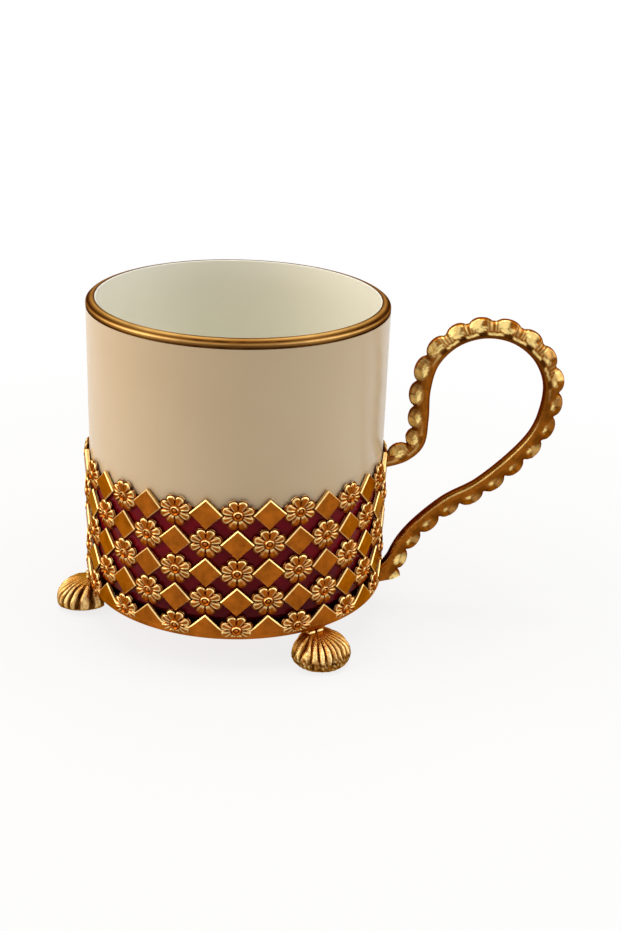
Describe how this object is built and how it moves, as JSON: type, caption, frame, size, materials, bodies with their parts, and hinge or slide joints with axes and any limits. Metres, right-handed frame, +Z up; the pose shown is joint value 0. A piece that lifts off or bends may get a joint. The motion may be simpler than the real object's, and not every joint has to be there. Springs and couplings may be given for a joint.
{
  "type": "turkish coffee cup",
  "caption": "Straight porcelain coffee cup with a gilt lip, standing in a pierced brass holder of diamonds and rosettes with a beaded loop handle and scallop-shell feet; the cup lifts out.",
  "frame": {"origin": "middle of the base plate's underside, on the cup's axis", "axes": "+Z up along the cup's axis, +X along the handle, +Y to the left of the handle seen from above"},
  "size_m": [0.095, 0.0616, 0.0619],
  "materials": {
    "porcelain": "glossy clear glaze over cream porcelain",
    "gilding": "fired gold line, polished",
    "burgundy_enamel": "glossy deep red enamel",
    "gilt_brass": "satin gilt with polished edges",
    "cast_brass": "cast, gilt, lightly worn"
  },
  "bodies": {
    "holder": {"pierced_gallery": "gilt_brass", "base_plate": "gilt_brass", "handle": "cast_brass", "shell_foot_front": "cast_brass", "shell_foot_back": "cast_brass", "shell_foot_left": "cast_brass"},
    "insert": {"porcelain_cup": "porcelain", "gilt_rim": "gilding", "burgundy_band": "burgundy_enamel"}
  },
  "joints": [
    {"name": "cup_lift", "type": "slide", "parent": "holder", "child": "insert", "axis": [0, 0, 1], "range_m": [0, 0.035]}
  ]
}
